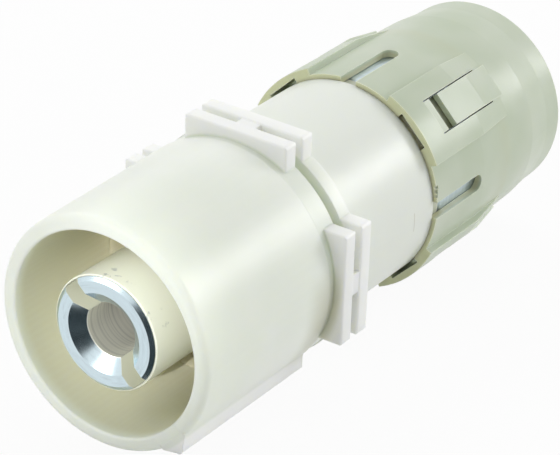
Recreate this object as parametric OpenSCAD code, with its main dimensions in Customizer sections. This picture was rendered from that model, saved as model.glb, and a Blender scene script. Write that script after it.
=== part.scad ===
// Heavy-duty single-pole socket connector: a moulded insulating shell with a slotted flange,
// a turned crimp socket behind a ring nut, and a rear sleeve that clips on.
// Millimetres. The connector axis is Y, the mating mouth looks to -Y and the cable leaves to +Y.
// The origin is on the axis, in the rear face of the rear flange plate.
// In the profiles below a point is [radius, station], and stations count back from the rim.

/* [Shell front] */
// Outer diameter of the shell just behind its rim
shell_d = 43.0; // [41:0.1:46]
// Growth of the shell radius from the rim to the flange band
shell_flare = 0.25; // [0:0.05:0.5]
// Length of the shell in front of the flange band
shell_len = 34.9; // [32:0.1:38]
// Wall of the shell round the mating mouth
mouth_wall = 2.8; // [2.2:0.1:4]
// Depth of the mating mouth
mouth_depth = 27.5; // [20:0.5:29]
// Chamfer between the mouth wall and its floor
mouth_corner = 1.5; // [0.5:0.1:2.5]
// Thickness of the floor that carries the guard tube
floor_t = 4.5; // [3:0.1:6]
// Rounding of the rim's outer edge
rim_outer_r = 1.3; // [0.4:0.1:1.5]
// Rounding of the rim's inner edge
rim_inner_r = 0.5; // [0.2:0.1:0.8]

/* [Key rib] */
// Angle of the key rib around the axis, counted up from +X
key_angle = -45; // [-60:1:-30]
// Height of the key rib over the shell
key_h = 1.95; // [1:0.05:3]
// Width of the key rib at its foot
key_w = 6.2; // [4:0.1:8]
// Radius of the key rib's crest
key_tip_r = 0.9; // [0.4:0.1:1.2]
// Distance from the key rib's rear end to the flange band
key_end_gap = 0.5; // [0.2:0.1:4]
// Depth of the shallow step in the rim beside the key rib
rim_step = 0.7; // [0.3:0.1:1.2]

/* [Flange] */
// Distance from the rim to the front plate
flange_start = 36.5; // [36:0.1:42]
// Thickness of each flange plate
plate_t = 3.05; // [2:0.05:3.5]
// Width of the slot between the plates
plate_gap = 1.8; // [1.2:0.1:3]
// How far the flat ends of the ears stand out over the shell
ear_reach = 2.0; // [1:0.1:4]
// Width of an ear
ear_w = 21.4; // [14:0.1:24]
// Rounding of an ear's corners
ear_corner_r = 0.7; // [0.3:0.1:1.5]
// Rounding of an ear's edges
ear_edge_r = 0.4; // [0.2:0.05:0.6]
// Width of the web that joins the plates in the middle of each ear
web_w = 4.0; // [2:0.1:6]
// Depth of the round slot floor under the rear plate
groove_depth = 2.1; // [1.2:0.1:2.3]
// How far the round rear plate stands out over the shell
plate_over = 0.2; // [0:0.05:1]

/* [Shell rear] */
// How far the rear body steps in from the shell front
rear_step = 2.15; // [1.8:0.05:2.4]
// Length of the rear body that shows between the flange and the sleeve
rear_len = 26.95; // [20:0.05:34]
// Wall of the rear body
rear_wall = 2.0; // [1.4:0.1:3]
// How far the slimmer spigot plugs into the sleeve
spigot_len = 2.65; // [2.2:0.05:2.9]
// Length over which a snap arm is rooted on the spigot
arm_root_len = 1.3; // [1.1:0.05:1.5]
// Width of a snap arm
arm_w = 6.6; // [4:0.1:7]
// Length of a snap arm behind the spigot
arm_len = 12.4; // [12.2:0.1:13.5]
// Height of the snap lug over its arm
lug_h = 0.6; // [0.4:0.05:0.65]
// Length of the snap lug's upright part
lug_len = 1.0; // [0.6:0.1:1.5]

/* [Guard tube] */
// Outer diameter of the ivory tube round the contact
guard_d = 21.1; // [20.9:0.1:23]
// How far the tube's front edge lies behind the rim
guard_front = 1.0; // [0.8:0.1:3]
// Thickness of the tube's flange
guard_flange_t = 3.0; // [2:0.1:5]

/* [Ring nut] */
// How far the ring nut's face lies behind the rim
nut_front = 0.4; // [0:0.1:1]
// Diameter of the ring nut's head
nut_d = 20.5; // [20:0.1:20.6]
// Length of the ring nut's head
nut_head = 6.8; // [6.6:0.1:9]
// Diameter of the ring nut's threaded neck
nut_neck_d = 15.8; // [14:0.1:17]
// Length of the ring nut's threaded neck
nut_neck = 6.0; // [4:0.1:9]
// Bore for the mating pin
pin_bore_d = 9.94; // [8:0.02:10.2]
// Outer diameter of the countersink
countersink_d = 14.9; // [12:0.1:16]
// Depth of the countersink
countersink_depth = 2.1; // [1:0.1:3]
// Chamfer on the head's front edge, along the radius
nut_chamfer = 0.7; // [0.3:0.05:0.8]
// Chamfer on the head's front edge, along the axis
nut_chamfer_len = 0.55; // [0.4:0.05:1.5]
// Width of the two wrench slots
wrench_w = 3.5; // [2.5:0.1:4.5]
// Depth of the two wrench slots
wrench_depth = 6.4; // [4:0.1:6.6]
// Angle of the wrench slots around the axis
wrench_angle = -45; // [-90:1:90]

/* [Contact socket] */
// Diameter of the socket barrel in the guard tube
barrel_d = 19.0; // [18:0.1:19.6]
// Bore that holds the contact band
band_bore_d = 12.8; // [12:0.1:13.6]
// Length of the contact band's bore
band_bore_len = 20.0; // [16:0.5:24]
// Depth of the pilot bore behind the band
pilot_len = 10.0; // [5:0.5:14]
// Radial room between the socket's shoulder and the rear body's wall
shoulder_room = 2.25; // [1.85:0.05:4]
// Thickness of the socket's shoulder
shoulder_t = 5.0; // [3:0.1:8]
// Diameter of the body between the shoulder and the support collar
body_d = 25.0; // [24:0.1:30]
// Outer diameter of the crimp barrel
crimp_d = 22.0; // [20:0.1:23]
// Bore of the crimp barrel
crimp_bore_d = 15.2; // [12:0.1:17]
// Depth of the crimp bore
crimp_depth = 42.0; // [30:0.5:44]
// Distance from the crimp barrel's mouth to the sleeve's end wall
crimp_end_gap = 6.6; // [4:0.1:12]
// Diameter of the inspection hole
inspect_d = 3.2; // [2:0.1:4]

/* [Contact band] */
// Number of spring strips in the band
strips = 16; // [10:1:20]
// Thickness of the band
band_t = 0.25; // [0.15:0.05:0.35]
// Gap between neighbouring strips
strip_gap = 0.7; // [0.4:0.1:1.0]
// Length of the solid ring at each end of the band
band_ring_len = 2.0; // [1:0.1:3]
// Radial room between the strips' waist and the mating pin's bore
waist_room = 0.03; // [0:0.01:0.2]

/* [Support collar] */
// How far the metal collar steps in from the rear body
collar_step = 0.75; // [0.65:0.05:0.9]
// Length of the collar
collar_len = 14.8; // [13:0.1:16]
// Thickness of the collar's web
collar_web = 4.2; // [2.5:0.1:6]
// Wall of the collar's skirt
collar_wall = 1.4; // [1:0.1:2.2]

/* [Retaining ring] */
// Thickness of the retaining ring
clip_t = 1.2; // [0.8:0.1:2]
// Radial width of the retaining ring
clip_w = 2.0; // [1.5:0.1:2.8]
// Depth of its groove in the crimp barrel
clip_groove = 0.7; // [0.4:0.1:1]
// Opening angle of the retaining ring
clip_open = 50; // [30:1:80]
// Diameter of the plier holes
clip_hole_d = 1.0; // [0.6:0.1:1.3]

/* [Rear sleeve] */
// Length of the sleeve
sleeve_len = 45.65; // [44:0.05:52]
// Height of the valleys between the pads over the rear body
valley_over = 0.85; // [0.65:0.05:1.1]
// Height of the four raised pads over the rear body
pad_over = 2.1; // [1.8:0.05:2.6]
// Half of the angle that a pad spans
pad_half_angle = 20.5; // [17:0.5:24]
// Length of the raised pads at full height
pad_len = 16.15; // [15:0.05:17]
// Length of the ramp behind a pad
ramp_len = 10.5; // [6:0.1:11]
// Height of the neck where the ramps end
neck_over = 0.45; // [0.2:0.05:0.6]
// Distance from the sleeve's front to the ridge at the end of the neck
neck_end = 34.25; // [32:0.05:36]
// Height of the neck at that ridge
ridge_over = 0.25; // [0.1:0.05:0.4]
// Length of the cone behind the ridge
cone_len = 6.4; // [3:0.1:7]
// How far the plain rear end steps in from the rear body
tail_under = 0.5; // [0.1:0.05:0.8]
// Rounding of the rear edge
tail_round = 0.8; // [0.3:0.1:1.5]
// Wall at the plain rear end
tail_wall = 1.9; // [1.4:0.1:2.6]
// Thickness of the end wall
end_wall = 2.5; // [1.5:0.1:4]
// Hole for the cable
cable_d = 25.0; // [20:0.5:30]
// Width of the four view slots
slot_w = 3.3; // [2:0.1:5]
// Length of the four view slots
slot_len = 15.2; // [8:0.1:16]

/* [Snap tongues] */
// Width of a snap tongue
tongue_w = 6.6; // [5:0.1:7]
// Width of the slits beside a tongue
slit_w = 0.2; // [0.15:0.05:0.6]
// Distance from the sleeve's front to the slits
slit_start = 5.5; // [4.5:0.1:6.5]
// Distance from the sleeve's front to the slits' rear ends
slit_end = 23.75; // [20:0.05:25]
// Distance from the sleeve's front to the window
window_start = 7.25; // [6.8:0.05:8]
// Length of the window
window_len = 2.7; // [1.5:0.1:2.8]
// Length of the tongue at full height before its own ramp
tongue_flat = 9.7; // [8:0.1:11]
// Width of the channel that lets the lug pass
channel_w = 7.2; // [7.1:0.1:9]
// Height of the channel's top over the rear body
channel_h = 0.75; // [0.75:0.05:1.0]
// Length of the hook under the tongue's free end
hook_len = 1.9; // [1:0.1:2.1]

/* [Wear] */
// Size of the small break in the sleeve's front edge
nick_r = 0.5; // [0.2:0.05:0.8]
// Angle of the break around the axis
nick_angle = 10.5; // [8:0.5:18]

/* [Clearances] */
// Radial clearance where one piece slides into another
fit = 0.1; // [0.05:0.01:0.2]

/* [Hidden] */
$fn = 96;
over = 1; // how far a cut runs past the face that it opens

shell_r = shell_d / 2;
band_r = shell_r;
mouth_r = shell_r - mouth_wall;
floor_back = mouth_depth + floor_t;
plate1_end = flange_start + plate_t;
plate2_start = plate1_end + plate_gap;
seat = plate2_start + plate_t; // the rear plate's rear face, where the origin lies
plate_r = shell_r + plate_over;
groove_r = plate_r - groove_depth;
ear_out = shell_r + ear_reach;
rear_r = shell_r - rear_step;
cavity_r = rear_r - rear_wall;
sleeve_front = seat + rear_len;
body_end = sleeve_front - fit;
spigot_end = sleeve_front + spigot_len;
arm_root = spigot_end - arm_root_len;

guard_r = guard_d / 2;
nut_r = nut_d / 2;
neck_r = nut_neck_d / 2;
pin_r = pin_bore_d / 2;
barrel_r = barrel_d / 2;
guard_back = floor_back + guard_flange_t;
nut_back = nut_front + nut_head;
shoulder_r = cavity_r - shoulder_room;
shoulder_back = guard_back + shoulder_t;
body_r = body_d / 2;
crimp_r = crimp_d / 2;
band_r_out = band_bore_d / 2 - fit;
band_start = nut_back + nut_neck + fit;
band_bore_end = band_start + band_bore_len;

collar_r = rear_r - collar_step;
spigot_r = collar_r;
collar_front = spigot_end + 4 * fit;
collar_web_back = collar_front + collar_web;
collar_back = collar_front + collar_len;

sleeve_end = sleeve_front + sleeve_len;
sleeve_bore_r = collar_r + fit;
channel_top = rear_r + channel_h;
tongue_outer = tongue_w + 2 * slit_w;
arm_r = sleeve_bore_r;
valley_r = rear_r + valley_over;
pad_r = rear_r + pad_over;
tongue_top = sqrt(pad_r * pad_r - tongue_w * tongue_w / 4);
sleeve_neck_r = rear_r + neck_over;
ridge_r = rear_r + ridge_over;
tail_r = rear_r - tail_under;
tail_bore_r = tail_r - tail_wall;
wall_face = sleeve_end - end_wall;
crimp_end = wall_face - crimp_end_gap;
tongue_front = sleeve_front + window_start + window_len;
hook_back = tongue_front + hook_len;
lug_front = hook_back + 3 * fit;
arm_end = spigot_end + arm_len;
pad_angles = [45, 135, 225, 315];
slot_angles = [0, 90, 180, 270];

// Points of an arc round c, from angle a0 to a1
function arc(c, r, a0, a1, n = 6) =
    [for (i = [0:n]) let (a = a0 + (a1 - a0) * i / n) [c[0] + r * cos(a), c[1] + r * sin(a)]];

// Turns the station axis of the profiles into +Y, with the origin in the flange's seat
module on_axis() {
    translate([0, -seat, 0]) rotate([-90, 0, 0]) children();
}

// Turns what is drawn along +X to an angle counted up from +X
module at_angle(a) {
    rotate([0, 0, -a]) children();
}

// A rectangle with true round corners, centred
module rounded_plate(size, r) {
    square([size[0] - 2 * r, size[1]], center = true);
    square([size[0], size[1] - 2 * r], center = true);
    for (x = [-1, 1], y = [-1, 1])
        translate([x * (size[0] / 2 - r), y * (size[1] / 2 - r)]) circle(r);
}

// A sector of a turned profile, centred on +X
module turned_sector(points, half_angle) {
    rotate([0, 0, -half_angle]) rotate_extrude(angle = 2 * half_angle) polygon(points);
}

// A bar along X with every edge rounded, centred, standing on the plane below it
module rounded_bar(size, corner_r, edge_r) {
    intersection() {
        linear_extrude(size[2]) rounded_plate([size[0], size[1]], corner_r);
        translate([0, size[1] / 2 + over, size[2] / 2]) rotate([90, 0, 0])
            linear_extrude(size[1] + 2 * over) rounded_plate([size[0], size[2]], edge_r);
        translate([-size[0] / 2 - over, 0, size[2] / 2]) rotate([90, 0, 90])
            linear_extrude(size[0] + 2 * over) rounded_plate([size[1], size[2]], edge_r);
    }
}

// One flange plate with its four ears
module flange_plate(start, round_r) {
    translate([0, 0, start]) {
        linear_extrude(plate_t) circle(round_r);
        rounded_bar([2 * ear_out, ear_w, plate_t], ear_corner_r, ear_edge_r);
        rotate(90) rounded_bar([2 * ear_out, ear_w, plate_t], ear_corner_r, ear_edge_r);
    }
}

// The key rib's section, a rounded crest on sloping flanks
module key_section() {
    crest = shell_r + key_h;
    foot = shell_r - rim_outer_r;
    slope_top = crest - key_tip_r / 2;
    half_top = key_tip_r * 0.866;
    polygon([[foot, -key_w / 2], [shell_r - 0.2, -key_w / 2], [slope_top, -half_top],
             [slope_top, half_top], [shell_r - 0.2, key_w / 2], [foot, key_w / 2]]);
    translate([crest - key_tip_r, 0]) circle(key_tip_r);
}

// What is cut away behind the rear body: the step down to the spigot, and behind the
// spigot everything but the four snap arms, which are rooted on it
module arm_cut() {
    foot = cavity_r - over;
    top = rear_r + over;
    difference() {
        rotate_extrude() polygon([
            [spigot_r, body_end], [shell_r, body_end], [shell_r, arm_end + over],
            [foot, arm_end + over], [foot, spigot_end], [spigot_r, spigot_end]]);
        for (a = pad_angles) at_angle(a)
            translate([0, arm_w / 2, 0]) rotate([90, 0, 0]) linear_extrude(arm_w) polygon([
                [foot - over, arm_root], [spigot_r, arm_root], [top, arm_root + top - spigot_r],
                [top, arm_end + 2 * over], [foot - over, arm_end + 2 * over]]);
    }
}

module insulating_shell() {
    front_r = shell_r + shell_flare;
    lug_r = rear_r + lug_h;
    color([0.93, 0.94, 0.91]) on_axis() difference() {
        union() {
            rotate_extrude() polygon(concat(
                arc([mouth_r + rim_inner_r, rim_inner_r], rim_inner_r, 180, 270),
                arc([shell_r - rim_outer_r, rim_outer_r], rim_outer_r, 270, 360),
                [[front_r, shell_len], [band_r, shell_len + shell_flare], [band_r, plate1_end],
                 [groove_r, plate1_end], [groove_r, plate2_start], [rear_r, plate2_start + plate_t / 2],
                 [rear_r, lug_front], [lug_r, lug_front], [lug_r, lug_front + lug_len],
                 [rear_r, arm_end], [arm_r, arm_end], [arm_r, spigot_end],
                 [cavity_r, spigot_end], [cavity_r, floor_back],
                 [guard_r + fit, floor_back], [guard_r + fit, mouth_depth],
                 [mouth_r - mouth_corner, mouth_depth], [mouth_r, mouth_depth - mouth_corner]]));
            difference() {
                union() {
                    flange_plate(flange_start, rear_r);
                    flange_plate(plate2_start, plate_r);
                    for (a = slot_angles) at_angle(a)
                        translate([groove_r - 0.5, -web_w / 2, plate1_end - 0.5])
                            cube([ear_out - ear_edge_r / 2 - groove_r + 0.5, web_w, plate_gap + 1]);
                }
                translate([0, 0, flange_start - over])
                    cylinder(h = seat - flange_start + 2 * over, r = rear_r - rear_wall / 2);
            }
            at_angle(key_angle) linear_extrude(shell_len - key_end_gap) key_section();
        }
        rim_notch();
        arm_cut();
    }
}

// The shallow step in the rim that runs out below the key rib
module rim_notch() {
    notch_r = shell_r - 0.9;
    span = 17;
    side = 6.8;
    run = span * PI / 180 * mouth_r;
    at_angle(key_angle + side) intersection() {
        translate([0, 0, rim_step]) rotate([-atan(rim_step / run), 0, 0])
            translate([0, 0, -shell_d]) cube([shell_d, shell_d, shell_d]);
        translate([0, 0, -over]) cylinder(h = 4 * over, r = notch_r);
    }
}

module guard_tube() {
    cup_r = cavity_r - fit;
    color([0.90, 0.91, 0.83]) on_axis() rotate_extrude() polygon([
        [nut_r + fit / 2, guard_front], [guard_r - 0.2, guard_front], [guard_r, guard_front + 0.2],
        [guard_r, floor_back], [cup_r, floor_back], [cup_r, shoulder_back],
        [shoulder_r + fit, shoulder_back], [shoulder_r + fit, guard_back], [barrel_r + fit, guard_back],
        [barrel_r + fit, nut_back], [nut_r + fit / 2, nut_back]]);
}

module ring_nut() {
    color([0.80, 0.84, 0.87]) on_axis() translate([0, 0, nut_front]) difference() {
        rotate_extrude() polygon([
            [countersink_d / 2, 0], [nut_r - nut_chamfer, 0], [nut_r, nut_chamfer_len],
            [nut_r, nut_head], [neck_r, nut_head], [neck_r, nut_head + nut_neck],
            [pin_r, nut_head + nut_neck], [pin_r, countersink_depth]]);
        at_angle(wrench_angle) translate([-nut_d, -wrench_w / 2, -over])
            cube([2 * nut_d, wrench_w, wrench_depth + over]);
    }
}

module contact_socket() {
    pilot_end = band_bore_end + pilot_len;
    crimp_floor = crimp_end - crimp_depth;
    groove_start = collar_web_back;
    groove_end = groove_start + clip_t + fit;
    drill_tip = 0.6;
    color([0.82, 0.85, 0.87]) on_axis() difference() {
        rotate_extrude() polygon([
            [neck_r + fit / 2, nut_back], [barrel_r - 0.3, nut_back], [barrel_r, nut_back + 0.3],
            [barrel_r, guard_back], [shoulder_r - 0.4, guard_back], [shoulder_r, guard_back + 0.4],
            [shoulder_r, shoulder_back - 0.4], [shoulder_r - 0.4, shoulder_back],
            [body_r, shoulder_back], [body_r, collar_front], [crimp_r, collar_front],
            [crimp_r, groove_start], [crimp_r - clip_groove, groove_start],
            [crimp_r - clip_groove, groove_end], [crimp_r, groove_end], [crimp_r, crimp_end - 0.5],
            [crimp_r - 0.5, crimp_end], [crimp_bore_d / 2 + 0.6, crimp_end],
            [crimp_bore_d / 2, crimp_end - 0.6], [crimp_bore_d / 2, crimp_floor],
            [0, crimp_floor - drill_tip * crimp_bore_d / 2], [0, pilot_end + drill_tip * pin_r],
            [pin_r, pilot_end], [pin_r, band_bore_end], [band_bore_d / 2, band_bore_end],
            [band_bore_d / 2, band_start - fit], [neck_r + fit / 2, band_start - fit]]);
        at_angle(90) translate([0, 0, crimp_floor + inspect_d]) rotate([0, 90, 0])
            cylinder(h = crimp_r + over, d = inspect_d);
    }
}

// The spring band: strips that bow inwards between two solid rings
module contact_band() {
    length = band_bore_len - 2 * fit;
    waist = pin_r - waist_room;
    bow = band_r_out - band_t - waist;
    strip_len = length - 2 * band_ring_len;
    start = band_start + fit;
    function inner(t) = band_r_out - band_t - bow * sin(180 * t);
    color([0.86, 0.80, 0.62]) on_axis() difference() {
        rotate_extrude() polygon(concat(
            [[inner(0), start]],
            [for (i = [0:10]) [inner(i / 10), start + band_ring_len + strip_len * i / 10]],
            [[inner(0), start + length], [band_r_out, start + length]],
            [for (i = [10:-1:0]) [inner(i / 10) + band_t, start + band_ring_len + strip_len * i / 10]],
            [[band_r_out, start]]));
        for (i = [0:strips - 1]) at_angle(i * 360 / strips)
            translate([0, -strip_gap / 2, start + band_ring_len]) cube([band_bore_d, strip_gap, strip_len]);
    }
}

module support_collar() {
    edge = 0.5;
    color([0.76, 0.80, 0.83]) on_axis() rotate_extrude() polygon([
        [crimp_r + fit / 2, collar_front], [collar_r - edge, collar_front], [collar_r, collar_front + edge],
        [collar_r, collar_back - edge], [collar_r - edge, collar_back],
        [collar_r - collar_wall, collar_back], [collar_r - collar_wall, collar_web_back],
        [crimp_r + fit / 2, collar_web_back]]);
}

module retaining_ring() {
    inner_r = crimp_r - clip_groove + fit / 2;
    lug_r = 1.2;
    lug_angle = clip_open / 2 + 8;
    mid_r = inner_r + clip_w - lug_r / 2;
    reach = mid_r + 2 * lug_r;
    color([0.42, 0.43, 0.44]) on_axis() translate([0, 0, collar_web_back + fit / 2])
        linear_extrude(clip_t) difference() {
            union() {
                circle(inner_r + clip_w);
                for (s = [-1, 1]) rotate(90 + s * lug_angle) translate([mid_r, 0]) circle(lug_r);
            }
            circle(inner_r);
            polygon([[0, 0], [-reach * tan(clip_open / 2), reach], [reach * tan(clip_open / 2), reach]]);
            for (s = [-1, 1]) rotate(90 + s * lug_angle) translate([mid_r + lug_r / 4, 0]) circle(d = clip_hole_d);
        }
}

// The raised pad along +X, with the tongue's own longer ridge in its middle
module sleeve_pad() {
    ramp_end = sleeve_front + pad_len + ramp_len;
    foot = valley_r - 0.5;
    neck = sleeve_neck_r;
    tongue_ramp = tongue_front + tongue_flat;
    difference() {
        turned_sector([[foot, sleeve_front], [pad_r, sleeve_front], [pad_r, sleeve_front + pad_len],
            [neck, ramp_end], [neck - 0.5, ramp_end], [foot - 0.5, sleeve_front + pad_len]], pad_half_angle);
        translate([tongue_top, -tongue_outer / 2, sleeve_front + slit_start])
            cube([pad_r, tongue_outer, pad_len]);
    }
    translate([0, tongue_w / 2, 0]) rotate([90, 0, 0]) linear_extrude(tongue_w) polygon([
        [foot, sleeve_front + pad_len - over], [tongue_top, sleeve_front + pad_len - over],
        [tongue_top, tongue_ramp], [neck + 0.1, ramp_end + 0.6], [neck - 0.5, ramp_end + 0.6],
        [foot - 0.5, sleeve_front + pad_len]]);
}

// What is cut out of the sleeve for one snap tongue along +X
module tongue_cuts() {
    for (s = [-1, 1])
        translate([tail_bore_r, s * (tongue_w + slit_w) / 2 - slit_w / 2, sleeve_front + slit_start])
            cube([pad_r, slit_w, slit_end - slit_start]);
    translate([tail_bore_r, -tongue_outer / 2, sleeve_front + window_start])
        cube([pad_r, tongue_outer, window_len]);
}

// The inner channel along +X in which the snap arm lies, stepped to leave the hook
module arm_channel() {
    hook_r = rear_r + 2 * fit;
    translate([0, channel_w / 2, 0]) rotate([90, 0, 0]) linear_extrude(channel_w) polygon([
        [tail_bore_r, sleeve_front - over], [channel_top, sleeve_front - over],
        [channel_top, tongue_front], [hook_r, tongue_front + 0.6], [hook_r, hook_back],
        [channel_top, hook_back], [channel_top, arm_end + 2 * fit], [tail_bore_r, arm_end + 2 * fit]]);
}

module rear_sleeve() {
    ridge = sleeve_front + neck_end;
    color([0.78, 0.81, 0.72]) on_axis() difference() {
        union() {
            rotate_extrude() polygon(concat(
                [[sleeve_bore_r, sleeve_front], [valley_r, sleeve_front],
                 [valley_r, sleeve_front + pad_len], [sleeve_neck_r, sleeve_front + pad_len + ramp_len],
                 [ridge_r, ridge], [tail_r + 0.1, ridge + cone_len]],
                arc([tail_r - tail_round, sleeve_end - tail_round], tail_round, 0, 90),
                [[cable_d / 2, sleeve_end], [cable_d / 2, wall_face], [tail_bore_r, wall_face],
                 [tail_bore_r, collar_back], [sleeve_bore_r, collar_back]]));
            for (a = pad_angles) at_angle(a) sleeve_pad();
        }
        for (a = pad_angles) at_angle(a) {
            tongue_cuts();
            arm_channel();
        }
        for (a = slot_angles) at_angle(a) view_slot();
        for (i = [-1:1]) at_angle(nick_angle + 2.2 * i)
            translate([valley_r, 0, sleeve_front - over])
                cylinder(h = over + nick_r * (1 + 0.4 * i), r = nick_r - 0.1 * abs(i));
    }
}

// An open-fronted slot with a round end, cut through the sleeve along +X
module view_slot() {
    length = slot_len - slot_w / 2;
    translate([tail_bore_r, 0, 0]) rotate([0, 90, 0]) linear_extrude(pad_r) {
        translate([-sleeve_front - length, -slot_w / 2]) square([length + over, slot_w]);
        translate([-sleeve_front - length, 0]) circle(d = slot_w);
    }
}

insulating_shell();
guard_tube();
ring_nut();
contact_socket();
contact_band();
support_collar();
retaining_ring();
rear_sleeve();
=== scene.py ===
import bpy
import math
from mathutils import Matrix, Vector


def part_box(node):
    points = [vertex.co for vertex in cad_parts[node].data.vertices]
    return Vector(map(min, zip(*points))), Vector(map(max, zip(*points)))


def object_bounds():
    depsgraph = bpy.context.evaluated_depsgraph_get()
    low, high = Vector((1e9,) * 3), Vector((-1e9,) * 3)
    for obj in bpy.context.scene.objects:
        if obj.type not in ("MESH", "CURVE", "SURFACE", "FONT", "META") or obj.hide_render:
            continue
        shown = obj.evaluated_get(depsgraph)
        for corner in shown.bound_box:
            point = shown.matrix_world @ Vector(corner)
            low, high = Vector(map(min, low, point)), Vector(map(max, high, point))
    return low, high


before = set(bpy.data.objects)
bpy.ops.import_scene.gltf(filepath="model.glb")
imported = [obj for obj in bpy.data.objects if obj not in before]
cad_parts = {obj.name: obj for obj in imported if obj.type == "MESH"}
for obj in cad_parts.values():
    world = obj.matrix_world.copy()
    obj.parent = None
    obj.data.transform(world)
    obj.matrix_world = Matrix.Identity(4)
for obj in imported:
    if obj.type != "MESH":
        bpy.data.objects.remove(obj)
cadLow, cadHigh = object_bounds()
mm = 0.001

# The origin lies in the rear face of the flange, and +Y runs back to the cable
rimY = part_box("insulating_shell")[0].y
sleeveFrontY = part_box("rear_sleeve")[0].y
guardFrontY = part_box("guard_tube")[0].y


# Shader helpers

def newMaterial(name):
    material = bpy.data.materials.new(name)
    material.use_nodes = True
    tree = material.node_tree
    tree.nodes.clear()
    output = tree.nodes.new("ShaderNodeOutputMaterial")
    shader = tree.nodes.new("ShaderNodeBsdfPrincipled")
    tree.links.new(shader.outputs["BSDF"], output.inputs["Surface"])
    return material, tree, shader


def feed(tree, socket, value):
    if isinstance(value, bpy.types.NodeSocket):
        tree.links.new(value, socket)
    else:
        socket.default_value = value


def mathNode(tree, operation, a, b=0.0, c=None, clamp=False):
    node = tree.nodes.new("ShaderNodeMath")
    node.operation = operation
    node.use_clamp = clamp
    feed(tree, node.inputs[0], a)
    feed(tree, node.inputs[1], b)
    if c is not None:
        feed(tree, node.inputs[2], c)
    return node.outputs[0]


def product(tree, first, *others):
    result = first
    for other in others:
        result = mathNode(tree, "MULTIPLY", result, other)
    return result


def mixColour(tree, factor, a, b):
    node = tree.nodes.new("ShaderNodeMix")
    node.data_type = "RGBA"
    feed(tree, node.inputs["Factor"], factor)
    feed(tree, node.inputs[6], a)
    feed(tree, node.inputs[7], b)
    return node.outputs[2]


def smoothStep(tree, value, low, high, outLow=0.0, outHigh=1.0):
    node = tree.nodes.new("ShaderNodeMapRange")
    node.interpolation_type = "SMOOTHSTEP"
    feed(tree, node.inputs["Value"], value)
    node.inputs["From Min"].default_value = low
    node.inputs["From Max"].default_value = high
    node.inputs["To Min"].default_value = outLow
    node.inputs["To Max"].default_value = outHigh
    return node.outputs["Result"]


def noiseNode(tree, vector, scale=None, detail=2.0):
    node = tree.nodes.new("ShaderNodeTexNoise")
    tree.links.new(vector, node.inputs["Vector"])
    if scale is not None:
        feed(tree, node.inputs["Scale"], scale)
    node.inputs["Detail"].default_value = detail
    return node.outputs["Fac"]


def objectCoords(tree):
    return tree.nodes.new("ShaderNodeTexCoord").outputs["Object"]


def splitVector(tree, vector):
    node = tree.nodes.new("ShaderNodeSeparateXYZ")
    tree.links.new(vector, node.inputs[0])
    return node.outputs[0], node.outputs[1], node.outputs[2]


def axisRadius(tree, x, z):
    squares = mathNode(tree, "ADD", product(tree, x, x), product(tree, z, z))
    return mathNode(tree, "SQRT", squares)


def newGroup(name, inputs, outputs):
    group = bpy.data.node_groups.new(name, "ShaderNodeTree")
    for label, kind, default in inputs:
        socket = group.interface.new_socket(name=label, in_out="INPUT", socket_type=kind)
        if default is not None:
            socket.default_value = default
    for label, kind in outputs:
        group.interface.new_socket(name=label, in_out="OUTPUT", socket_type=kind)
    return group, group.nodes.new("NodeGroupInput"), group.nodes.new("NodeGroupOutput")


def useGroup(tree, group, values):
    node = tree.nodes.new("ShaderNodeGroup")
    node.node_tree = group
    for label, value in values.items():
        feed(tree, node.inputs[label], value)
    return node


def bevelNormal(tree, radius):
    bevel = tree.nodes.new("ShaderNodeBevel")
    bevel.samples = 4
    bevel.inputs["Radius"].default_value = radius
    return bevel.outputs["Normal"]


def roundedNormal(tree, radius, height, strength, distance):
    # soft moulded or broken edges, with the surface's own texture on top
    bump = tree.nodes.new("ShaderNodeBump")
    bump.inputs["Strength"].default_value = strength
    bump.inputs["Distance"].default_value = distance
    tree.links.new(height, bump.inputs["Height"])
    tree.links.new(bevelNormal(tree, radius), bump.inputs["Normal"])
    return bump.outputs["Normal"]


def edgeMask(tree, radius, plainDot, edgeDot):
    # 1 on sharp edges, 0 on plain faces
    plain = tree.nodes.new("ShaderNodeNewGeometry")
    dot = tree.nodes.new("ShaderNodeVectorMath")
    dot.operation = "DOT_PRODUCT"
    tree.links.new(bevelNormal(tree, radius), dot.inputs[0])
    tree.links.new(plain.outputs["Normal"], dot.inputs[1])
    return smoothStep(tree, dot.outputs["Value"], plainDot, edgeDot)


# Shared effects

skinLook = {
    "cloudScale": 60.0,
    "cloudRange": (0.3, 0.7),
    "grainScale": 2500.0,
    "grainDetail": 4.0,
    "rubbedScale": 190.0,
    "rubbedDetail": 6.0,
    "rubbedRange": (0.2, 0.8),
}


def buildMouldedSkin():
    # cloudy tone and a fine spark-eroded texture, as moulded polyamide has
    look = skinLook
    group, source, target = newGroup(
        "mouldedSkin",
        [("Coords", "NodeSocketVector", None), ("Cloud Scale", "NodeSocketFloat", look["cloudScale"]),
         ("Grain Scale", "NodeSocketFloat", look["grainScale"])],
        [("Cloud", "NodeSocketFloat"), ("Grain", "NodeSocketFloat"), ("Rubbed", "NodeSocketFloat")])
    coords = source.outputs["Coords"]
    cloud = noiseNode(group, coords, source.outputs["Cloud Scale"])
    grain = noiseNode(group, coords, source.outputs["Grain Scale"], look["grainDetail"])
    rubbed = noiseNode(group, coords, look["rubbedScale"], look["rubbedDetail"])
    group.links.new(smoothStep(group, cloud, *look["cloudRange"]), target.inputs["Cloud"])
    group.links.new(grain, target.inputs["Grain"])
    group.links.new(smoothStep(group, rubbed, *look["rubbedRange"]), target.inputs["Rubbed"])
    return group


marksLook = {
    "pitchScale": 9000.0,
    "axialShare": 1.37,
    "cellScale": 1600.0,
    "turnScale": 2.5,
    "streakDetail": 4.0,
}


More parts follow.
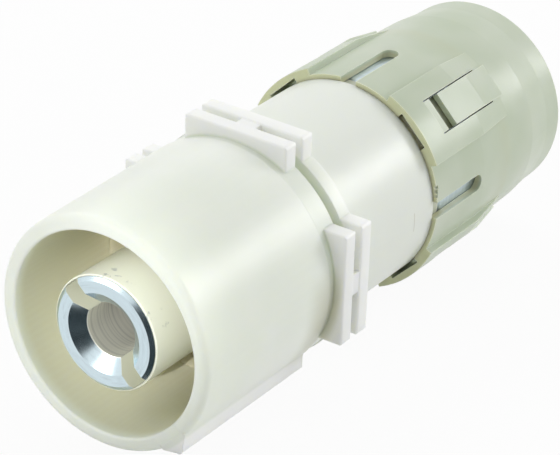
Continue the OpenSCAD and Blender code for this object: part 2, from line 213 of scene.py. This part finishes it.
def buildTurnedMarks():
    # fine rings left by the turning tool, round the axis on faces and along it on cylinders
    look = marksLook
    group, source, target = newGroup(
        "turnedMarks",
        [("Coords", "NodeSocketVector", None), ("Pitch Scale", "NodeSocketFloat", look["pitchScale"])],
        [("Rings", "NodeSocketFloat"), ("Streaks", "NodeSocketFloat")])
    x, y, z = splitVector(group, source.outputs["Coords"])
    radius = axisRadius(group, x, z)
    profile = mathNode(group, "ADD", radius, product(group, y, look["axialShare"]))
    ringNoise = group.nodes.new("ShaderNodeTexNoise")
    ringNoise.noise_dimensions = "1D"
    group.links.new(product(group, profile, source.outputs["Pitch Scale"]), ringNoise.inputs["W"])
    ringNoise.inputs["Scale"].default_value = 1.0
    ringNoise.inputs["Detail"].default_value = 2.0
    angle = mathNode(group, "ARCTAN2", z, x)
    cell = group.nodes.new("ShaderNodeCombineXYZ")
    group.links.new(product(group, radius, look["cellScale"]), cell.inputs[0])
    group.links.new(product(group, y, look["cellScale"]), cell.inputs[1])
    group.links.new(product(group, angle, look["turnScale"]), cell.inputs[2])
    streaks = noiseNode(group, cell.outputs[0], 1.0, look["streakDetail"])
    group.links.new(ringNoise.outputs["Fac"], target.inputs["Rings"])
    group.links.new(streaks, target.inputs["Streaks"])
    return group


specksLook = {
    "scale": 700.0,
    "sparse": 0.66,
    "detail": 5.0,
    "contrast": 14.0,
    "patchScale": 150.0,
    "patchRange": (0.48, 0.6),
}


def buildSpecks():
    # sparse small rubs left by handling: Sparse is how rare they are
    look = specksLook
    group, source, target = newGroup(
        "handlingSpecks",
        [("Coords", "NodeSocketVector", None), ("Scale", "NodeSocketFloat", look["scale"]),
         ("Sparse", "NodeSocketFloat", look["sparse"])],
        [("Mask", "NodeSocketFloat")])
    coords = source.outputs["Coords"]
    spot = noiseNode(group, coords, source.outputs["Scale"], look["detail"])
    patch = noiseNode(group, coords, look["patchScale"])
    over = mathNode(group, "SUBTRACT", spot, source.outputs["Sparse"])
    spots = mathNode(group, "MULTIPLY", over, look["contrast"], clamp=True)
    where = smoothStep(group, patch, *look["patchRange"])
    group.links.new(product(group, spots, where), target.inputs["Mask"])
    return group


mouldedSkin = buildMouldedSkin()
turnedMarks = buildTurnedMarks()
handlingSpecks = buildSpecks()
print("shared effects ready")


# Plastics: where a value is a pair, the effect grows from the first number to the second

def finishPlastic(tree, shader, skin, look):
    rough = mathNode(tree, "MULTIPLY_ADD", skin.outputs["Rubbed"], look["rubbed"], look["roughness"])
    tree.links.new(rough, shader.inputs["Roughness"])
    shader.inputs["Subsurface Weight"].default_value = look["scatter"]
    shader.inputs["Subsurface Radius"].default_value = look["scatterColour"]
    shader.inputs["Subsurface Scale"].default_value = look["scatterDepth"]
    normal = roundedNormal(tree, look["edge"], skin.outputs["Grain"], look["grain"], look["grainDepth"])
    tree.links.new(normal, shader.inputs["Normal"])


shellLook = {
    "lit": (0.85, 0.89, 0.81, 1.0),
    "warm": (0.82, 0.87, 0.77, 1.0),
    "body": (0.86, 0.905, 0.795, 1.0),
    "bodyFrom": (0.0, 2 * mm),
    # painted light: the flange plates and ears
    "paintedLightTone": (0.97, 0.99, 0.93, 1.0),
    "paintedLightBeyond": (21.55 * mm, 22.1 * mm),
    # the colour of the painted shade before the side ears, and of the scratch
    "shadeAndScratch": (0.50, 0.49, 0.35, 1.0),
    "shadeTowards": (0.966, -0.26),  # a little below the middle of each side
    "shadeSide": (0.87, 0.995),
    "shadeStart": (27.5 * mm, 33.5 * mm),
    "shadeEnd": (36.9 * mm, 36.6 * mm),
    "shadeHeight": (23.8 * mm, 21.9 * mm),
    "shadeShare": 0.5,
    # painted shade: the spigot inside the sleeve
    "spigot": (0.60, 0.63, 0.50, 1.0),
    "spigotFrom": (-0.05 * mm, 0.05 * mm),
    # painted light and shade: the catch arms in the pockets
    "arm": (0.97, 0.90, 0.66, 1.0),
    "armDeepShade": (0.80, 0.82, 0.60, 1.0),
    "armCorner": (0.30, 0.42),
    "armFade": (2 * mm, 5 * mm),
    "scratchAt": 20.8 * mm,
    "scratchWidth": (0.16 * mm, 0.06 * mm),
    "scratchReach": (0.11, 0.08),
    "scratchShare": 0.5,
    # painted shade inside the mouth, darkest at its floor
    "mouth": (0.72, 0.72, 0.57, 1.0),
    "mouthDeepShade": (0.68, 0.65, 0.47, 1.0),
    "floor": (0.44, 0.41, 0.27, 1.0),
    "mouthDepth": (0.0, 27.5 * mm),
    "floorFrom": (25.3 * mm, 26.9 * mm),
    "innerSide": (18.78 * mm, 18.66 * mm),
    "frontHalf": (4 * mm, 2 * mm),
    "behindRim": (0.2 * mm, 3.2 * mm),
    "roughness": 0.34,
    "rubbed": 0.03,
    "edge": 0.35 * mm,
    "grain": 0.10,
    "grainDepth": 0.05 * mm,
    "scatter": 0.6,
    "scatterColour": (1.0, 0.95, 0.7),
    "scatterDepth": 4 * mm,
    "ior": 1.5,
}


def shellOutside(tree, coords, tone):
    look = shellLook
    x, y, z = splitVector(tree, coords)
    radius = axisRadius(tree, x, z)
    depth = mathNode(tree, "SUBTRACT", y, rimY)
    behindSleeve = mathNode(tree, "SUBTRACT", y, sleeveFrontY)
    tone = mixColour(tree, smoothStep(tree, y, *look["bodyFrom"]), tone, look["body"])
    # the flange plates and ears are painted whiter than the body: painted light, standing in for light
    # through their slim plastic
    tone = mixColour(tree, smoothStep(tree, radius, *look["paintedLightBeyond"]), tone, look["paintedLightTone"])
    # painted shade in the corner before the two side ears
    towardsX, towardsZ = look["shadeTowards"]
    sideways = mathNode(tree, "MULTIPLY_ADD", mathNode(tree, "ABSOLUTE", x), towardsX,
                        product(tree, z, towardsZ))
    byEar = smoothStep(tree, mathNode(tree, "DIVIDE", sideways, radius), *look["shadeSide"])
    start = smoothStep(tree, depth, *look["shadeStart"])
    end = smoothStep(tree, depth, *look["shadeEnd"])
    low = smoothStep(tree, radius, *look["shadeHeight"])
    earShade = product(tree, byEar, start, end, low, look["shadeShare"])
    tone = mixColour(tree, earShade, tone, look["shadeAndScratch"])
    # the spigot behind the body is painted darker: painted shade inside the sleeve
    behind = smoothStep(tree, behindSleeve, *look["spigotFrom"])
    tone = mixColour(tree, behind, tone, look["spigot"])
    # the catch arms stand at the corners, painted a warm yellow that darkens further behind the sleeve:
    # painted light and shade in the pockets
    corner = mathNode(tree, "DIVIDE", mathNode(tree, "ABSOLUTE", product(tree, x, z)),
                      product(tree, radius, radius))
    arm = product(tree, behind, smoothStep(tree, corner, *look["armCorner"]))
    far = smoothStep(tree, behindSleeve, *look["armFade"])
    tone = mixColour(tree, arm, tone, mixColour(tree, far, look["arm"], look["armDeepShade"]))
    # a faint scratch on the right side of the rear body
    angle = mathNode(tree, "ARCTAN2", z, x)
    offLine = mathNode(tree, "ABSOLUTE", mathNode(tree, "SUBTRACT", y, look["scratchAt"]))
    scratch = product(tree, smoothStep(tree, offLine, *look["scratchWidth"]),
                      smoothStep(tree, mathNode(tree, "ABSOLUTE", angle), *look["scratchReach"]),
                      look["scratchShare"])
    return mixColour(tree, scratch, tone, look["shadeAndScratch"])


def shellMouth(tree, coords, tone):
    # the mouth's wall is painted olive, darker with depth and darkest at the floor: painted shade inside
    # the mouth
    look = shellLook
    x, y, z = splitVector(tree, coords)
    radius = axisRadius(tree, x, z)
    depth = mathNode(tree, "SUBTRACT", y, rimY)
    inside = mixColour(tree, smoothStep(tree, depth, *look["mouthDepth"]), look["mouth"], look["mouthDeepShade"])
    inside = mixColour(tree, smoothStep(tree, depth, *look["floorFrom"]), inside, look["floor"])
    innerSide = smoothStep(tree, radius, *look["innerSide"])
    frontHalf = smoothStep(tree, y, *look["frontHalf"])
    behindRim = smoothStep(tree, depth, *look["behindRim"])
    return mixColour(tree, product(tree, innerSide, frontHalf, behindRim), tone, inside)


def shellPlastic():
    look = shellLook
    material, tree, shader = newMaterial("shellPlastic")
    coords = objectCoords(tree)
    skin = useGroup(tree, mouldedSkin, {"Coords": coords})
    tone = mixColour(tree, skin.outputs["Cloud"], look["lit"], look["warm"])
    tone = shellOutside(tree, coords, tone)
    tone = shellMouth(tree, coords, tone)
    tree.links.new(tone, shader.inputs["Base Color"])
    shader.inputs["IOR"].default_value = look["ior"]
    finishPlastic(tree, shader, skin, look)
    return material


guardLook = {
    "ivory": (0.93, 0.93, 0.80, 1.0),
    "green": (0.90, 0.93, 0.79, 1.0),
    "rub": (0.42, 0.46, 0.44, 1.0),
    "rubWithin": (6 * mm, 1 * mm),
    "rubScale": 760.0,
    "rubSparse": 0.60,
    # painted shade: the tube's front face in the gap at the ring nut
    "front": (0.62, 0.64, 0.54, 1.0),
    "frontWithin": (0.22 * mm, 0.08 * mm),
    "roughness": 0.30,
    "rubbed": 0.14,
    "edge": 0.08 * mm,
    "grain": 0.08,
    "grainDepth": 0.05 * mm,
    "scatter": 0.15,
    "scatterColour": (1.0, 0.97, 0.7),
    "scatterDepth": 0.4 * mm,
}


def guardPlastic():
    look = guardLook
    material, tree, shader = newMaterial("guardPlastic")
    coords = objectCoords(tree)
    depth = mathNode(tree, "SUBTRACT", splitVector(tree, coords)[1], guardFrontY)
    skin = useGroup(tree, mouldedSkin, {"Coords": coords})
    specks = useGroup(tree, handlingSpecks,
                      {"Coords": coords, "Scale": look["rubScale"], "Sparse": look["rubSparse"]})
    tone = mixColour(tree, skin.outputs["Cloud"], look["ivory"], look["green"])
    # the tube's front face is painted darker: painted shade in the narrow gap at the ring nut
    tone = mixColour(tree, smoothStep(tree, depth, *look["frontWithin"]), tone, look["front"])
    # the rubs lie near the ring only
    rubs = product(tree, specks.outputs["Mask"], smoothStep(tree, depth, *look["rubWithin"]))
    tree.links.new(mixColour(tree, rubs, tone, look["rub"]), shader.inputs["Base Color"])
    finishPlastic(tree, shader, skin, look)
    return material


sleeveLook = {
    "light": (0.60, 0.655, 0.535, 1.0),
    "green": (0.515, 0.585, 0.445, 1.0),
    # painted shade: the sleeve's front face
    "front": (0.68, 0.70, 0.46, 1.0),
    "frontWithin": (0.30 * mm, 0.10 * mm),
    # painted shade: the cut walls of slots, windows and pockets
    "inner": (0.56, 0.56, 0.37, 1.0),
    "innerRadius": (20.1 * mm, 19.3 * mm),
    "innerAhead": (27 * mm, 24 * mm),
    # painted highlight: the moulded edges
    "edgeHighlight": (0.80, 0.84, 0.72, 1.0),
    "highlightRadius": 0.30 * mm,
    "highlightDots": (0.985, 0.90),
    "highlightShare": 0.85,
    "roughness": 0.29,
    "rubbed": 0.10,
    "edge": 0.15 * mm,
    "grain": 0.07,
    "grainDepth": 0.05 * mm,
    "scatter": 0.30,
    "scatterColour": (1.0, 0.95, 0.6),
    "scatterDepth": 0.7 * mm,
}


def sleevePlastic():
    look = sleeveLook
    material, tree, shader = newMaterial("sleevePlastic")
    coords = objectCoords(tree)
    x, y, z = splitVector(tree, coords)
    radius = axisRadius(tree, x, z)
    depth = mathNode(tree, "SUBTRACT", y, sleeveFrontY)
    skin = useGroup(tree, mouldedSkin, {"Coords": coords})
    tone = mixColour(tree, skin.outputs["Cloud"], look["light"], look["green"])
    # the sleeve's front face is painted a yellow olive: painted shade on the face turned forward
    tone = mixColour(tree, smoothStep(tree, depth, *look["frontWithin"]), tone, look["front"])
    # the moulded edges are painted a little paler: a painted highlight along them
    edgeHighlight = product(tree, edgeMask(tree, look["highlightRadius"], *look["highlightDots"]), look["highlightShare"])
    tone = mixColour(tree, edgeHighlight, tone, look["edgeHighlight"])
    # the cut walls of slots, windows and pockets are painted a deeper olive: painted shade in these
    # recesses
    cut = product(tree, smoothStep(tree, radius, *look["innerRadius"]),
                  smoothStep(tree, depth, *look["innerAhead"]))
    tree.links.new(mixColour(tree, cut, tone, look["inner"]), shader.inputs["Base Color"])
    finishPlastic(tree, shader, skin, look)
    return material


# Metals

ringLook = {
    "silver": (0.63, 0.75, 0.80, 1.0),
    "tarnish": (0.58, 0.69, 0.74, 1.0),
    "streaks": (0.45, 0.75),
    "finePitch": 3000.0,
    # painted reflection: the bore's beige tone
    "bore": (0.84, 0.84, 0.74, 1.0),
    "boreMark": (0.52, 0.53, 0.47, 1.0),
    "boreMarks": (0.42, 0.68, 0.0, 0.5),
    "borePitch": 1300.0,
    "boreWall": (5.03 * mm, 5.13 * mm),
    "boreDull": 0.35,
    # painted reflection: the slot walls' warm grey-beige
    "slot": (0.58, 0.59, 0.47, 1.0),
    "slotAngle": math.radians(-45),
    "slotWall": (1.8 * mm, 1.76 * mm),
    "slotDull": 0.85,
    "roughness": 0.20,
    "streakRoughness": 0.08,
    "dullRoughness": 0.3,
    "edge": 0.05 * mm,
    "ringBump": 0.35,
    "ringDepth": 0.03 * mm,
}


def silveredRing():
    look = ringLook
    material, tree, shader = newMaterial("silveredRing")
    coords = objectCoords(tree)
    x, y, z = splitVector(tree, coords)
    radius = axisRadius(tree, x, z)
    fine = useGroup(tree, turnedMarks, {"Coords": coords, "Pitch Scale": look["finePitch"]})
    coarse = useGroup(tree, turnedMarks, {"Coords": coords, "Pitch Scale": look["borePitch"]})
    tone = mixColour(tree, smoothStep(tree, fine.outputs["Streaks"], *look["streaks"]),
                     look["silver"], look["tarnish"])
    # fine rings left in the bore by the boring tool, on a beige tone that is a painted reflection
    boreStart, boreEnd = look["boreWall"]
    inBore = smoothStep(tree, radius, boreEnd, boreStart)
    outOfBore = smoothStep(tree, radius, boreStart, boreEnd)
    boreMarks = smoothStep(tree, coarse.outputs["Rings"], *look["boreMarks"])
    tone = mixColour(tree, inBore, tone, mixColour(tree, boreMarks, look["bore"], look["boreMark"]))
    # sawn walls of the wrench slots are duller; their warm grey-beige is a painted reflection
    across = mathNode(tree, "ADD", product(tree, x, -math.sin(look["slotAngle"])),
                      product(tree, z, math.cos(look["slotAngle"])))
    inSlot = smoothStep(tree, mathNode(tree, "ABSOLUTE", across), *look["slotWall"])
    sawn = product(tree, inSlot, outOfBore)
    tree.links.new(mixColour(tree, sawn, tone, look["slot"]), shader.inputs["Base Color"])
    dull = mathNode(tree, "MAXIMUM", product(tree, sawn, look["slotDull"]),
                    product(tree, inBore, look["boreDull"]))
    tree.links.new(mathNode(tree, "SUBTRACT", 1.0, dull), shader.inputs["Metallic"])
    rough = mathNode(tree, "MULTIPLY_ADD", fine.outputs["Streaks"], look["streakRoughness"],
                     look["roughness"])
    rough = mathNode(tree, "MULTIPLY_ADD", dull, look["dullRoughness"], rough)
    tree.links.new(rough, shader.inputs["Roughness"])
    normal = roundedNormal(tree, look["edge"], fine.outputs["Rings"], look["ringBump"], look["ringDepth"])
    tree.links.new(normal, shader.inputs["Normal"])
    return material


turnedLook = {
    "streaks": (0.4, 0.75),
    "streakRoughness": 0.2,
    "edge": 0.08 * mm,
    "ringDepth": 0.012 * mm,
}
# material name, bright and dull tone, roughness, and how strong the tool marks are
metalLooks = {
    "contact_socket": ("silveredContact", (0.80, 0.84, 0.86, 1.0), (0.60, 0.63, 0.64, 1.0), 0.20, 0.3),
    "contact_band": ("springAlloy", (0.83, 0.70, 0.42, 1.0), (0.62, 0.50, 0.28, 1.0), 0.18, 0.15),
    "support_collar": ("brightCollar", (0.63, 0.72, 0.77, 1.0), (0.55, 0.64, 0.70, 1.0), 0.32, 0.2),
    "retaining_ring": ("springSteel", (0.16, 0.16, 0.17, 1.0), (0.08, 0.08, 0.09, 1.0), 0.30, 0.1),
}


def turnedMetal(name, bright, dull, roughness, marksStrength):
    look = turnedLook
    material, tree, shader = newMaterial(name)
    marks = useGroup(tree, turnedMarks, {"Coords": objectCoords(tree)})
    tone = mixColour(tree, smoothStep(tree, marks.outputs["Streaks"], *look["streaks"]), bright, dull)
    tree.links.new(tone, shader.inputs["Base Color"])
    shader.inputs["Metallic"].default_value = 1.0
    rough = mathNode(tree, "MULTIPLY_ADD", marks.outputs["Streaks"], look["streakRoughness"], roughness)
    tree.links.new(rough, shader.inputs["Roughness"])
    normal = roundedNormal(tree, look["edge"], marks.outputs["Rings"], marksStrength, look["ringDepth"])
    tree.links.new(normal, shader.inputs["Normal"])
    return material


def dress(node, material):
    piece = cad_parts[node]
    piece.data.materials.clear()
    piece.data.materials.append(material)


dress("insulating_shell", shellPlastic())
dress("guard_tube", guardPlastic())
dress("rear_sleeve", sleevePlastic())
dress("ring_nut", silveredRing())
for node, look in metalLooks.items():
    dress(node, turnedMetal(*look))
print("materials on", len(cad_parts), "nodes")

# Floor, light and camera

stageLook = {
    "size": 3.0,
    "floorColour": (0.82, 0.82, 0.82, 1.0),
    "floorRoughness": 0.9,
    "whiten": 0.94,
    "white": (1.0, 1.0, 1.0, 1.0),
    "worldStrength": 0.34,
}


def seenDirectly(tree):
    # 1 for camera, mirror and glass rays, which see plain white
    path = tree.nodes.new("ShaderNodeLightPath")
    seen = mathNode(tree, "MAXIMUM", path.outputs["Is Camera Ray"], path.outputs["Is Glossy Ray"])
    return mathNode(tree, "MAXIMUM", seen, path.outputs["Is Transmission Ray"])


def mixShaders(tree, factor, a, b, target):
    mix = tree.nodes.new("ShaderNodeMixShader")
    tree.links.new(factor, mix.inputs[0])
    tree.links.new(a, mix.inputs[1])
    tree.links.new(b, mix.inputs[2])
    tree.links.new(mix.outputs[0], target)


def makeFloor():
    # the floor keeps the shadow, and is otherwise nearly as white as the background
    look = stageLook
    bpy.ops.mesh.primitive_plane_add(size=look["size"], location=(0, 0, cadLow.z))
    floor = bpy.context.object
    floor.name = "studioFloor"
    material, tree, shader = newMaterial("floorPaper")
    shader.inputs["Base Color"].default_value = look["floorColour"]
    shader.inputs["Roughness"].default_value = look["floorRoughness"]
    white = tree.nodes.new("ShaderNodeEmission")
    white.inputs["Strength"].default_value = 1.0
    output = next(node for node in tree.nodes if node.bl_idname == "ShaderNodeOutputMaterial")
    share = product(tree, seenDirectly(tree), look["whiten"])
    mixShaders(tree, share, shader.outputs["BSDF"], white.outputs[0], output.inputs["Surface"])
    floor.data.materials.append(material)


def makeBackground(tree, strength):
    background = tree.nodes.new("ShaderNodeBackground")
    background.inputs["Color"].default_value = stageLook["white"]
    background.inputs["Strength"].default_value = strength
    return background.outputs[0]


def makeWorld():
    world = bpy.data.worlds.new("studioWorld")
    bpy.context.scene.world = world
    world.use_nodes = True
    tree = world.node_tree
    tree.nodes.clear()
    output = tree.nodes.new("ShaderNodeOutputWorld")
    ambient = makeBackground(tree, stageLook["worldStrength"])
    white = makeBackground(tree, 1.0)
    mixShaders(tree, seenDirectly(tree), ambient, white, output.inputs["Surface"])


lamps = {
    "leftSoft": {"at": (-0.65, 0.30, 0.65), "size": 0.7, "watts": 2.95},
    "overheadSoft": {"at": (0.10, 0.30, 0.95), "size": 0.6, "watts": 1.55},
    "backRightStrip": {"at": (0.62, 0.80, 0.42), "size": 0.34, "watts": 3.45},
    "rightSide": {"at": (0.97, 0.22, 0.10), "size": 0.4, "watts": 1.65},
    "frontLeft": {"at": (-0.46, -0.70, 0.53), "size": 0.5, "watts": 2.45},
}
# A narrow beam into the mating mouth, so that its tube and ring read clearly
snoot = {
    "aim": (-0.0008, -0.042, 0.0012),
    "from": (0.28, -0.72, 0.32),
    "watts": 40.0,
    "cone": math.radians(2.2),
    "blend": 0.35,
    "radius": 0.01,
}


def placeLamp(data, at, aim):
    holder = bpy.data.objects.new(data.name, data)
    bpy.context.scene.collection.objects.link(holder)
    holder.location = at
    holder.rotation_euler = (Vector(aim) - holder.location).to_track_quat("-Z", "Y").to_euler()
    return holder


def makeLamps():
    for name, lamp in lamps.items():
        data = bpy.data.lights.new(name, "AREA")
        data.energy = lamp["watts"]
        data.size = lamp["size"]
        placeLamp(data, lamp["at"], (0.0, 0.0, 0.0))
    data = bpy.data.lights.new("mouthSnoot", "SPOT")
    data.energy = snoot["watts"]
    data.spot_size = snoot["cone"]
    data.spot_blend = snoot["blend"]
    data.shadow_soft_size = snoot["radius"]
    holder = placeLamp(data, snoot["from"], snoot["aim"])
    holder.visible_glossy = False


# Matt black cards beside and below the mouth, which only reflections see
cardLook = {
    "colour": (0.02, 0.03, 0.035, 1.0),
    "roughness": 0.95,
}
darkCards = {
    "standing": {"at": (0.185, -0.280, 0.080), "size": (0.28, 0.205), "turn": (90, 0, 38)},
    "lying": {"at": (0.150, -0.224, -0.0225), "size": (0.30, 0.353), "turn": (0, 0, 0)},
}


def makeDarkCards():
    material, tree, shader = newMaterial("blackCard")
    shader.inputs["Base Color"].default_value = cardLook["colour"]
    shader.inputs["Roughness"].default_value = cardLook["roughness"]
    for name, look in darkCards.items():
        bpy.ops.mesh.primitive_plane_add(size=1.0, location=look["at"])
        card = bpy.context.object
        card.name = name + "BlackCard"
        card.scale = (*look["size"], 1.0)
        card.rotation_euler = [math.radians(angle) for angle in look["turn"]]
        card.visible_camera = False
        card.visible_diffuse = False
        card.visible_transmission = False
        card.visible_shadow = False
        card.data.materials.append(material)


# The photograph's own camera, worked out from the outline of the shell, flange and sleeve
cameraSetup = {
    "at": (261.74 * mm, -381.32 * mm, 252.61 * mm),
    "right": (0.8187, 0.5733, 0.0325),
    "up": (-0.2972, 0.3747, 0.8782),
    "back": (0.4913, -0.7287, 0.4771),
    "focal": 3000.0,
    "imageWidth": 560.0,
    "sensor": 36.0,
    "clip": (0.01, 20.0),
}


def makeCamera():
    setup = cameraSetup
    data = bpy.data.cameras.new("studioCamera")
    data.sensor_fit = "HORIZONTAL"
    data.sensor_width = setup["sensor"]
    data.lens = setup["focal"] / setup["imageWidth"] * setup["sensor"]
    data.clip_start, data.clip_end = setup["clip"]
    camera = bpy.data.objects.new("studioCamera", data)
    bpy.context.scene.collection.objects.link(camera)
    turn = Matrix((setup["right"], setup["up"], setup["back"])).transposed()
    camera.matrix_world = Matrix.Translation(setup["at"]) @ turn.to_4x4()
    bpy.context.scene.camera = camera


makeFloor()
makeDarkCards()
makeWorld()
makeLamps()
makeCamera()
bpy.context.scene.view_settings.view_transform = "Standard"
print("stage, lamps and camera ready")
